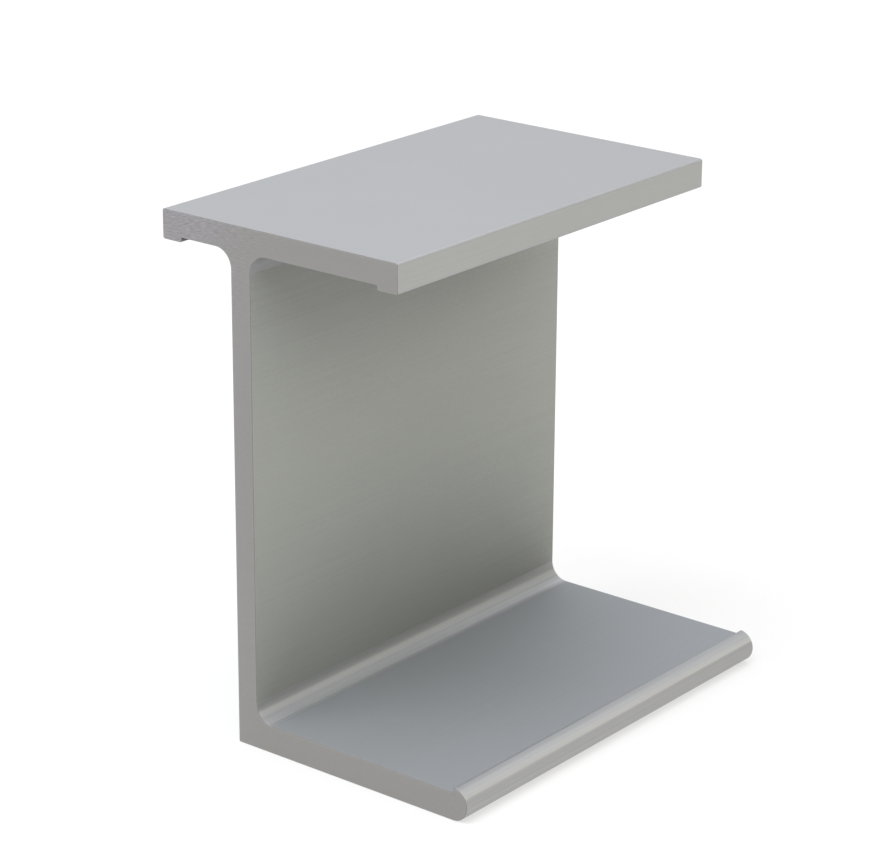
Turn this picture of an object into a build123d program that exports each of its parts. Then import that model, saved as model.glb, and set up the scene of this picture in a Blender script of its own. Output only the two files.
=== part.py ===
from build123d import *
import os

# A short sawn length of an extruded aluminium profile, in millimetres. It stands on its foot
# flange with the web upright. +Z is up, Y runs along the extrusion, and the origin is on the
# floor at the middle of the length and of the overall width.

# Driving dimensions: the cut piece
length = 100.0
height = 110.0

# Driving dimensions: the web, whose back is the plain side that faces -X
web_thick = 5.0

# Driving dimensions: the top flange, recessed underneath between two lips
top_width = 60.0
top_overhang = 18.0
top_thick = 5.2
lip_width = 5.0
lip_depth = 1.0

# Driving dimensions: the foot flange, measured from the back of the web to the tip of its nose
foot_reach = 59.5
foot_thick = 6.0
nose_rise = 1.0

# Driving dimensions: fillets, rounded long edges and the broken edges of the sawn ends
web_fillet = 4.0
edge_radius = 0.5
heel_radius = 0.2
end_break = 0.1

# The nose is a full round that stands proud of the foot flange by nose_rise
nose_radius = (foot_thick + nose_rise) / 2
nose_x = foot_reach - nose_radius

# Places across the section, from the back of the web
flange_back = -top_overhang
flange_front = top_width - top_overhang
back_lip = flange_back + lip_width
front_lip = flange_front - lip_width

# Places up the section, from the floor
recess_z = height - top_thick
lip_z = recess_z - lip_depth

# The overall width is centred on the origin, so the back of the web stands off to one side
front_reach = max(foot_reach, flange_front)
web_back_x = (top_overhang - front_reach) / 2
section_plane = Plane(origin=(web_back_x, 0, 0), x_dir=(1, 0, 0), z_dir=(0, -1, 0))

# Small radii give way where the step they sit on is too low to hold them
step_share = 0.5
lip_radius = min(edge_radius, step_share * lip_depth)
crest_radius = min(edge_radius, step_share * nose_rise)


def corners(sketch, points):
    """The sketch vertex that lies nearest to each point."""
    return [sketch.vertices().sort_by_distance(point)[0] for point in points]


with BuildPart() as profile_bar:
    with BuildSketch(section_plane) as section:
        with BuildLine():
            nose = CenterArc((nose_x, nose_radius), nose_radius, -90, 180)
            Polyline(
                nose @ 1,
                (nose_x, foot_thick),
                (web_thick, foot_thick),
                (web_thick, recess_z),
                (front_lip, recess_z),
                (front_lip, lip_z),
                (flange_front, lip_z),
                (flange_front, height),
                (flange_back, height),
                (flange_back, lip_z),
                (back_lip, lip_z),
                (back_lip, recess_z),
                (0, recess_z),
                (0, 0),
                nose @ 0,
            )
        make_face()

        # Fillets where the web runs into the flanges
        web_roots = [(web_thick, foot_thick), (web_thick, recess_z), (0, recess_z)]
        fillet(corners(section, web_roots), web_fillet)

        # Rounded long edges of the top flange
        flange_edges = [(x, z) for x in (flange_back, flange_front) for z in (lip_z, height)]
        fillet(corners(section, flange_edges), edge_radius)
        fillet(corners(section, [(back_lip, lip_z), (front_lip, lip_z)]), lip_radius)

        # Crest of the nose and heel of the web
        fillet(corners(section, [(nose_x, 2 * nose_radius)]), crest_radius)
        fillet(corners(section, [(0, 0)]), heel_radius)
    extrude(amount=length / 2, both=True)

    # The saw leaves a burr, and both ends have it taken off
    sawn_ends = profile_bar.faces().filter_by(Axis.Y)
    chamfer(sawn_ends.edges(), end_break)

profile_bar.part.label = "profile_bar"
os.makedirs("parts", exist_ok=True)
export_step(profile_bar.part, "parts/profile_bar.step")
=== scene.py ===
import math

import bpy
from mathutils import Matrix, Vector

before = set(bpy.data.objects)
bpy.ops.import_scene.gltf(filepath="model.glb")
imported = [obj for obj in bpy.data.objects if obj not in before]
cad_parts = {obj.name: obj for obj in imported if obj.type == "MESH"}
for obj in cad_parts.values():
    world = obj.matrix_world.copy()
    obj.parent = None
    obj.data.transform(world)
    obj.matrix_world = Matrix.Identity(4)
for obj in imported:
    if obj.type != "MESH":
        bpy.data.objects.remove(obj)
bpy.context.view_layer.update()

# A sawn length of aluminium extrusion on a pale studio floor. Everything is in metres in the
# frame of the CAD part: +Z up, Y along the extrusion, origin on the floor under its middle.

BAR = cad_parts["profile_bar"]
MM = 0.001
OCCLUSION_SAMPLES = 8


# Node helpers

def new_material(name):
    """A material whose node tree holds only its output: material, tree and output."""
    material = bpy.data.materials.new(name)
    material.use_nodes = True
    tree = material.node_tree
    tree.nodes.clear()
    output = tree.nodes.new("ShaderNodeOutputMaterial")
    return material, tree, output


def add(tree, kind, inputs=None, **settings):
    """Adds a node. inputs gives each socket, by name or number, a value or another socket."""
    node = tree.nodes.new(kind)
    for name, value in settings.items():
        setattr(node, name, value)
    for name, value in (inputs or {}).items():
        socket = node.inputs[name]
        if isinstance(value, bpy.types.NodeSocket):
            tree.links.new(value, socket)
        else:
            socket.default_value = value
    return node


def math_node(tree, operation, a, b=0.0, c=0.0):
    return add(tree, "ShaderNodeMath", {0: a, 1: b, 2: c}, operation=operation).outputs[0]


def product(tree, first, *others):
    for other in others:
        first = math_node(tree, "MULTIPLY", first, other)
    return first


def noise(tree, vector, scale, detail=2.0):
    """Noise that runs from 0 to 1 about 0.5."""
    node = add(tree, "ShaderNodeTexNoise", {"Vector": vector, "Scale": scale, "Detail": detail})
    return node.outputs["Fac"]


def swung(tree, value, amount, middle):
    """Noise about 0.5, brought to middle - amount / 2 to middle + amount / 2."""
    centred = math_node(tree, "SUBTRACT", value, 0.5)
    return math_node(tree, "MULTIPLY_ADD", centred, amount, middle)


def stretched(tree, vector, scale):
    """The same coordinates with each axis scaled: a texture is drawn out along the small ones."""
    return add(tree, "ShaderNodeVectorMath", {0: vector, 1: scale}, operation="MULTIPLY").outputs[0]


def ramp(tree, value, low, high, to_low=0.0, to_high=1.0, smooth=True):
    """value from low..high to to_low..to_high, clamped."""
    sockets = {"Value": value, "From Min": low, "From Max": high,
               "To Min": to_low, "To Max": to_high}
    kind = "SMOOTHSTEP" if smooth else "LINEAR"
    node = add(tree, "ShaderNodeMapRange", sockets, interpolation_type=kind, clamp=True)
    return node.outputs["Result"]


def mixed(tree, factor, a, b):
    return add(tree, "ShaderNodeMix", {0: factor, 2: a, 3: b}, data_type="FLOAT").outputs[0]


def blend_colours(tree, factor, a, b):
    node = add(tree, "ShaderNodeMix", {"Factor": factor}, data_type="RGBA")
    for socket, value in ((node.inputs[6], a), (node.inputs[7], b)):
        if isinstance(value, bpy.types.NodeSocket):
            tree.links.new(value, socket)
        else:
            socket.default_value = (*value, 1.0)
    return node.outputs[2]


def occlusion(tree, distance, inside=False):
    """How far the part leaves a point open within distance, in front of the surface or with
    inside behind it: 1 is fully open."""
    node = add(tree, "ShaderNodeAmbientOcclusion", {"Distance": distance},
               samples=OCCLUSION_SAMPLES, inside=inside, only_local=True)
    return node.outputs["AO"]


# Camera: fitted to the photograph

CAMERA_SENSOR = 36.0
CAMERA_LENS = 126.66
CAMERA_AZIMUTH = math.radians(38.794)
CAMERA_ELEVATION = math.radians(19.576)
CAMERA_ROLL = math.radians(0.306)
CAMERA_TARGET = Vector((-9.458, 0.585, 57.528)) * MM
CAMERA_DISTANCE = 643.92 * MM
CAMERA_NEAR = 0.01
CAMERA_FAR = 200.0


def direction(azimuth, elevation):
    """From the part outwards: azimuth 0 is in front of the sawn end, 90 on the nose's side."""
    flat = math.cos(elevation)
    return Vector((math.sin(azimuth) * flat, -math.cos(azimuth) * flat, math.sin(elevation)))


def make_camera():
    camera = bpy.data.objects.new("camera", bpy.data.cameras.new("camera"))
    bpy.context.scene.collection.objects.link(camera)
    back = direction(CAMERA_AZIMUTH, CAMERA_ELEVATION)
    level = Vector((math.cos(CAMERA_AZIMUTH), math.sin(CAMERA_AZIMUTH), 0.0))
    upright = back.cross(level)
    right = level * math.cos(CAMERA_ROLL) + upright * math.sin(CAMERA_ROLL)
    up = upright * math.cos(CAMERA_ROLL) - level * math.sin(CAMERA_ROLL)
    turn = Matrix((right, up, back)).transposed().to_4x4()
    place = Matrix.Translation(CAMERA_TARGET + back * CAMERA_DISTANCE)
    camera.matrix_world = place @ turn
    camera.data.sensor_width = CAMERA_SENSOR
    camera.data.lens = CAMERA_LENS
    camera.data.clip_start = CAMERA_NEAR
    camera.data.clip_end = CAMERA_FAR
    bpy.context.scene.camera = camera


# Floor, lamps and world

FLOOR_COLOUR = (0.35, 0.345, 0.33, 1.0)
FLOOR_GLOW = 0.58
FLOOR_RADIUS = 60.0
LAMP_AIM = Vector((0.0, 0.0, 55.0)) * MM

# The world's light at the horizon and overhead
WORLD_LOW = (0.36, 0.355, 0.29)
WORLD_HIGH = (0.91, 0.95, 1.03)

# Softboxes: name, azimuth and elevation in degrees, distance, width and height in metres,
# brightness and tint
SOFTBOXES = (
    ("overhead_softbox", 0.0, 90.0, 1.3, 1.6, 1.6, 0.95, (0.98, 1.0, 1.02)),
    ("front_softbox", 352.0, 60.0, 1.4, 1.2, 0.9, 3.3, (0.97, 1.0, 1.05)),
    ("back_panel", 137.0, 26.0, 1.5, 1.6, 0.5, 1.1, (1.03, 1.0, 0.8)),
)


def seen_ray(tree):
    """1 for the rays that show a surface: camera, glossy and transmission rays."""
    path = add(tree, "ShaderNodeLightPath").outputs
    first = math_node(tree, "MAXIMUM", path["Is Camera Ray"], path["Is Glossy Ray"])
    return math_node(tree, "MAXIMUM", first, path["Is Transmission Ray"])


def make_floor():
    mesh = bpy.data.meshes.new("studio_floor")
    sides = ((-1, -1), (1, -1), (1, 1), (-1, 1))
    corners = [(x * FLOOR_RADIUS, y * FLOOR_RADIUS, 0.0) for x, y in sides]
    mesh.from_pydata(corners, [], [(0, 1, 2, 3)])
    floor = bpy.data.objects.new("studio_floor", mesh)
    bpy.context.scene.collection.objects.link(floor)
    material, tree, output = new_material("pale_floor")
    diffuse = add(tree, "ShaderNodeBsdfDiffuse", {"Color": FLOOR_COLOUR})
    strength = math_node(tree, "MULTIPLY", seen_ray(tree), FLOOR_GLOW)
    glow = add(tree, "ShaderNodeEmission", {"Strength": strength})
    both = add(tree, "ShaderNodeAddShader", {0: diffuse.outputs[0], 1: glow.outputs[0]})
    tree.links.new(both.outputs[0], output.inputs["Surface"])
    mesh.materials.append(material)


def make_lamps():
    for name, azimuth, elevation, distance, width, height, brightness, tint in SOFTBOXES:
        towards = direction(math.radians(azimuth), math.radians(elevation))
        data = bpy.data.lights.new(name, "AREA")
        data.shape = "RECTANGLE"
        data.size = width
        data.size_y = height
        data.color = tint
        data.energy = brightness * math.pi * width * height
        lamp = bpy.data.objects.new(name, data)
        bpy.context.scene.collection.objects.link(lamp)
        lamp.location = LAMP_AIM + towards * distance
        lamp.rotation_mode = "QUATERNION"
        lamp.rotation_quaternion = (-towards).to_track_quat("-Z", "Y")


def make_world():
    world = bpy.data.worlds.new("studio")
    bpy.context.scene.world = world
    world.use_nodes = True
    tree = world.node_tree
    tree.nodes.clear()
    output = tree.nodes.new("ShaderNodeOutputWorld")
    outwards = add(tree, "ShaderNodeTexCoord").outputs["Generated"]
    height = add(tree, "ShaderNodeSeparateXYZ", {0: outwards}).outputs["Z"]
    sky = blend_colours(tree, ramp(tree, height, 0.0, 1.0), WORLD_LOW, WORLD_HIGH)
    background = add(tree, "ShaderNodeBackground", {"Color": sky, "Strength": 1.0})
    tree.links.new(background.outputs[0], output.inputs["Surface"])


# Colours and roughness of the extruded sides and the sawn ends

SIDE_COLOUR = (0.471, 0.469, 0.476)
# The sawn ends are darker than the sides: partly the cut's own colour, partly painted shade.
SAWN_COLOUR = (0.423, 0.412, 0.401)
SAWN_START_COLOUR = (0.446, 0.431, 0.445)
SIDE_ROUGHNESS = 0.72
CURVED_ROUGHNESS = 0.62
SAWN_ROUGHNESS = 0.8
SIDE_ROUGHNESS_SWING = 0.12
SAWN_ROUGHNESS_SWING = 0.15

# Painted light and shade: tints that make the skin lighter or darker by zone for how the light
# falls there, fitted to the photograph: the front of the web, the foot's top, the fillets, the
# sides of the top flange, and the nose
WEB_PAINTED_LIGHT = (1.091, 1.106, 1.031)
LEDGE_PAINTED_SHADE = (0.916, 0.942, 0.955)
FILLET_PAINTED_LIGHT = (1.08, 1.08, 1.075)
RIM_PAINTED_LIGHT = (1.115, 1.12, 1.08)
NOSE_PAINTED_LIGHT = (1.015, 1.005, 0.998)

# Where the top flange's sides, the nose and the foot are
RIM_BACK = -38.3 * MM
RIM_FRONT = 20.8 * MM
NOSE_START = 34.9 * MM
FOOT_LEVEL = 8.0 * MM

# Masks from the normal, as the two values between which each one comes in or goes: the product
# of X and Z on a curve, Z on the foot's top, and Y on a sawn end and on its broken edge
CURVE_LIMITS = (0.02, 0.1)
LEDGE_LIMITS = (0.7, 0.98)
SAWN_LIMITS = (0.6, 0.8)
BROKEN_IN = (0.2, 0.5)
BROKEN_OUT = (0.8, 0.95)

# Painted highlights and shade: lengthwise bands along the round surfaces that brighten and darken
# them as reflections would, fitted to the photograph: the angle of the surface's normal above the
# horizontal, in degrees, and the tone there
NOSE_PAINTED_BANDS = (
    (-90, 0.96), (-12, 0.98), (0, 0.93), (10, 1.0), (18, 0.94), (26, 1.02), (30, 1.17),
    (35, 1.19), (42, 1.08), (52, 1.01), (62, 1.0), (72, 0.93), (90, 0.89),
)
FILLET_PAINTED_BANDS = (
    (-90, 0.92), (-40, 0.92), (-12, 0.83), (4, 1.02), (14, 0.96), (25, 0.91), (31, 1.08),
    (37, 1.0), (46, 0.96), (50, 0.87), (54, 0.98), (64, 1.06), (73, 1.18), (79, 1.07), (90, 0.97),
)

# Die lines: their noise scales across the section, how far they are drawn out along Y, how
# strong they are on flat and on round sides, and the broad ones' share of that
FINE_LINES = 2600.0
BROAD_LINES = 700.0
DRAWN_OUT = 0.004
FLAT_LINES = 0.012
CURVED_LINES = 0.25
BROAD_SHARE = 0.5

# Cloudy variation over the whole part
CLOUDS = 45.0
CLOUD_STRENGTH = 0.035

# Sawn ends: a guessed centre for the blade in the plane of the cut, the scales of its short
# streaks and long scores, how far each is drawn out along the blade's arc, and their strengths
BLADE_X = 60.0 * MM
BLADE_Z = -330.0 * MM
STREAKS = 5200.0
STREAK_STRETCH = 0.055
STREAK_STRONG = 0.95
STREAK_WEAK = 0.06
SCORES = 1400.0
SCORE_STRETCH = 0.02
SCORE_STRENGTH = 0.03

# The streaks are strongest at the back of the top flange: how far along X - START_LEAN * Z they
# are strong, where they have faded, and the two X between which the sawn colour changes
START_LEAN = 0.6
CUT_START = -101.0 * MM
CUT_FADED = -60.0 * MM
TINT_START = -32.0 * MM
TINT_END = -12.0 * MM

# Painted shade: upright sides darken where the part shuts them in, from ambient occlusion. The
# amount was fitted to the photograph, which doesn't tell dull skin from shade. SHELTER_LEAN moves
# it towards the far end, to the metre at the floor and by nothing at LEAN_TOP, and UNDER_GAIN
# deepens it up the web. Those two only take up the difference that was left.
SHELTER_REACH = 160.0 * MM
SHELTER_LIMITS = (0.6, 0.95)
SHELTER_LOSS = 0.285
SHELTER_LEAN = 6.0
LEAN_TOP = 110.0 * MM
UNDER_START = 55.0 * MM
UNDER_END = 82.0 * MM
UNDER_GAIN = 1.17

# Thin edges are a little brighter, and the broken edges of the sawn ends are darker: painted shade
# that dims the highlight they catch
EDGE_REACH = 0.6 * MM
EDGE_LIMITS = (0.95, 0.6)
EDGE_BRIGHT = 0.04
BROKEN_EDGE_SHADE = 0.72

# Relief of the die lines and the saw marks
BUMP_STRENGTH = 0.25
BUMP_DEPTH = 0.02 * MM


def section_zones(tree, place, normal):
    """Masks from 0 to 1 for the zones of the section, with the point's coordinates ("spot"), how
    far it faces sideways ("upright") and the normal's angle above the horizontal ("angle")."""
    spot = add(tree, "ShaderNodeSeparateXYZ", {0: place}).outputs
    facing = add(tree, "ShaderNodeSeparateXYZ", {0: normal}).outputs
    upright = math_node(tree, "ABSOLUTE", facing["X"])
    endwise = math_node(tree, "ABSOLUTE", facing["Y"])
    corner = math_node(tree, "ABSOLUTE", product(tree, facing["X"], facing["Z"]))
    curved = ramp(tree, corner, *CURVE_LIMITS)
    flat = math_node(tree, "SUBTRACT", 1.0, curved)

    low = math_node(tree, "LESS_THAN", spot["Z"], FOOT_LEVEL)
    high = math_node(tree, "SUBTRACT", 1.0, low)
    front = math_node(tree, "GREATER_THAN", spot["X"], RIM_FRONT)
    rear = math_node(tree, "LESS_THAN", spot["X"], RIM_BACK)
    outside = product(tree, math_node(tree, "MAXIMUM", front, rear), high)
    within = math_node(tree, "SUBTRACT", 1.0, outside)
    nose = product(tree, math_node(tree, "GREATER_THAN", spot["X"], NOSE_START), low)

    forward = math_node(tree, "MAXIMUM", facing["X"], 0.0)
    broken = product(tree, ramp(tree, endwise, *BROKEN_IN),
                     ramp(tree, endwise, *BROKEN_OUT, 1.0, 0.0))
    return {
        "spot": spot,
        "upright": upright,
        "angle": math_node(tree, "ARCTAN2", facing["Z"], upright),
        "web": product(tree, forward, within),
        "ledge": product(tree, low, ramp(tree, facing["Z"], *LEDGE_LIMITS)),
        "fillet": product(tree, curved, within),
        "rim": product(tree, outside, flat),
        "nose": nose,
        "round": math_node(tree, "MAXIMUM", curved, nose),
        "sawn": ramp(tree, endwise, *SAWN_LIMITS),
        "broken": broken,
    }


def painted_light_bands(tree, angle, bands):
    """Painted highlight and shade: the tone at an angle in radians, read off a line through the
    bands.
    """
    turn = ramp(tree, angle, -math.pi / 2, math.pi / 2, 0.0, 1.0, smooth=False)
    node = add(tree, "ShaderNodeValToRGB", {"Fac": turn})
    elements = node.color_ramp.elements
    while len(elements) < len(bands):
        elements.new(0.5)
    # Some tones are above 1, so they are stored halved as colours, and doubled again
    for element, (degrees, tone) in zip(elements, bands):
        element.position = degrees / 180.0 + 0.5
        element.color = (tone / 2.0, tone / 2.0, tone / 2.0, 1.0)
    return math_node(tree, "MULTIPLY", node.outputs["Color"], 2.0)


def die_lines(tree, place):
    """Fine and broad lengthwise lines, each about 0.5."""
    drawn = stretched(tree, place, (1.0, DRAWN_OUT, 1.0))
    return noise(tree, drawn, FINE_LINES), noise(tree, drawn, BROAD_LINES, detail=3.0)


def saw_marks(tree, spot):
    """Short streaks and longer scores along the arcs of the blade, each about 0.5."""
    across = math_node(tree, "SUBTRACT", spot["X"], BLADE_X)
    up = math_node(tree, "SUBTRACT", spot["Z"], BLADE_Z)
    square = math_node(tree, "MULTIPLY_ADD", across, across, product(tree, up, up))
    radius = math_node(tree, "SQRT", square)
    arc = math_node(tree, "MULTIPLY", math_node(tree, "ARCTAN2", across, up), STREAK_STRETCH)
    polar = add(tree, "ShaderNodeCombineXYZ", {0: radius, 1: arc, 2: spot["Y"]}).outputs[0]
    streaks = noise(tree, polar, STREAKS)
    scores = noise(tree, stretched(tree, polar, (1.0, SCORE_STRETCH, 1.0)), SCORES)
    return streaks, scores


def skin_colour(tree, zones):
    """The colour of the extruded skin, with painted light and shade by zone, and of the sawn ends,
    before its tone.
    """
    painted_zone_light = (("web", WEB_PAINTED_LIGHT), ("ledge", LEDGE_PAINTED_SHADE), ("fillet", FILLET_PAINTED_LIGHT),
             ("rim", RIM_PAINTED_LIGHT), ("nose", NOSE_PAINTED_LIGHT))
    colour = SIDE_COLOUR
    for zone, tint in painted_zone_light:
        painted_zone_colour = tuple(c * t for c, t in zip(SIDE_COLOUR, tint))
        colour = blend_colours(tree, zones[zone], colour, painted_zone_colour)
    start = ramp(tree, zones["spot"]["X"], TINT_START, TINT_END)
    sawn = blend_colours(tree, start, SAWN_START_COLOUR, SAWN_COLOUR)
    return blend_colours(tree, zones["sawn"], colour, sawn)


def painted_shelter_shade(tree, zones):
    """Painted shade: the tone of the upright sides, lower where the part shuts them in."""
    height = zones["spot"]["Z"]
    loss = ramp(tree, occlusion(tree, SHELTER_REACH), *SHELTER_LIMITS, SHELTER_LOSS, 0.0)
    slope = ramp(tree, height, 0.0, LEAN_TOP, SHELTER_LEAN, 0.0, smooth=False)
    lean = math_node(tree, "MULTIPLY_ADD", zones["spot"]["Y"], slope, 1.0)
    under = ramp(tree, height, UNDER_START, UNDER_END, 1.0, UNDER_GAIN)
    return math_node(tree, "SUBTRACT", 1.0, product(tree, loss, lean, under, zones["upright"]))


def side_tone(tree, zones, fine, broad):
    """How bright the skin is: its painted shade, its painted bands of highlight and shade, and its
    die lines.
    """
    painted_shade = painted_shelter_shade(tree, zones)
    fillet = product(tree, painted_shade, painted_light_bands(tree, zones["angle"], FILLET_PAINTED_BANDS))
    tone = mixed(tree, zones["fillet"], painted_shade, fillet)
    tone = mixed(tree, zones["nose"], tone, painted_light_bands(tree, zones["angle"], NOSE_PAINTED_BANDS))
    amount = ramp(tree, zones["round"], 0.0, 1.0, FLAT_LINES, CURVED_LINES, smooth=False)
    broad_amount = math_node(tree, "MULTIPLY", amount, BROAD_SHARE)
    return product(tree, tone, swung(tree, fine, amount, 1.0),
                   swung(tree, broad, broad_amount, 1.0))


def sawn_tone(tree, zones, streaks, scores):
    """How bright a sawn end is: its streaks are strongest at the back of the top flange."""
    spot = zones["spot"]
    along = math_node(tree, "MULTIPLY_ADD", spot["Z"], -START_LEAN, spot["X"])
    strong = ramp(tree, along, CUT_START, CUT_FADED, STREAK_STRONG, STREAK_WEAK)
    return product(tree, swung(tree, streaks, strong, 1.0),
                   swung(tree, scores, SCORE_STRENGTH, 1.0))


def aluminium_colour(tree, place, zones, lines, marks):
    side = side_tone(tree, zones, *lines)
    tone = mixed(tree, zones["sawn"], side, sawn_tone(tree, zones, *marks))
    clouds = noise(tree, place, CLOUDS, detail=3.0)
    tone = product(tree, tone, swung(tree, clouds, CLOUD_STRENGTH, 1.0))
    thin = occlusion(tree, EDGE_REACH, inside=True)
    tone = math_node(tree, "ADD", tone, ramp(tree, thin, *EDGE_LIMITS, 0.0, EDGE_BRIGHT))
    tone = product(tree, tone, ramp(tree, zones["broken"], 0.0, 1.0, 1.0, BROKEN_EDGE_SHADE))
    skin = skin_colour(tree, zones)
    return add(tree, "ShaderNodeVectorMath", {0: skin, 3: tone}, operation="SCALE").outputs[0]


def aluminium_roughness(tree, zones, fine, streaks):
    smooth_side = ramp(tree, zones["round"], 0.0, 1.0, SIDE_ROUGHNESS, CURVED_ROUGHNESS,
                       smooth=False)
    side = swung(tree, fine, SIDE_ROUGHNESS_SWING, smooth_side)
    cut = swung(tree, streaks, SAWN_ROUGHNESS_SWING, SAWN_ROUGHNESS)
    return mixed(tree, zones["sawn"], side, cut)


def make_aluminium():
    material, tree, output = new_material("satin_aluminium")
    place = add(tree, "ShaderNodeTexCoord").outputs["Object"]
    normal = add(tree, "ShaderNodeNewGeometry").outputs["Normal"]
    zones = section_zones(tree, place, normal)
    fine, broad = die_lines(tree, place)
    streaks, scores = saw_marks(tree, zones["spot"])
    relief = {"Strength": BUMP_STRENGTH, "Distance": BUMP_DEPTH,
              "Height": mixed(tree, zones["sawn"], fine, streaks)}
    shader = add(tree, "ShaderNodeBsdfPrincipled", {
        "Metallic": 1.0,
        "Base Color": aluminium_colour(tree, place, zones, (fine, broad), (streaks, scores)),
        "Roughness": aluminium_roughness(tree, zones, fine, streaks),
        "Normal": add(tree, "ShaderNodeBump", relief).outputs[0],
    })
    tree.links.new(shader.outputs[0], output.inputs["Surface"])
    return material


def dress(node, material):
    node.data.materials.clear()
    node.data.materials.append(material)


make_camera()
make_floor()
make_lamps()
make_world()
dress(BAR, make_aluminium())

bpy.context.scene.view_settings.view_transform = "Standard"
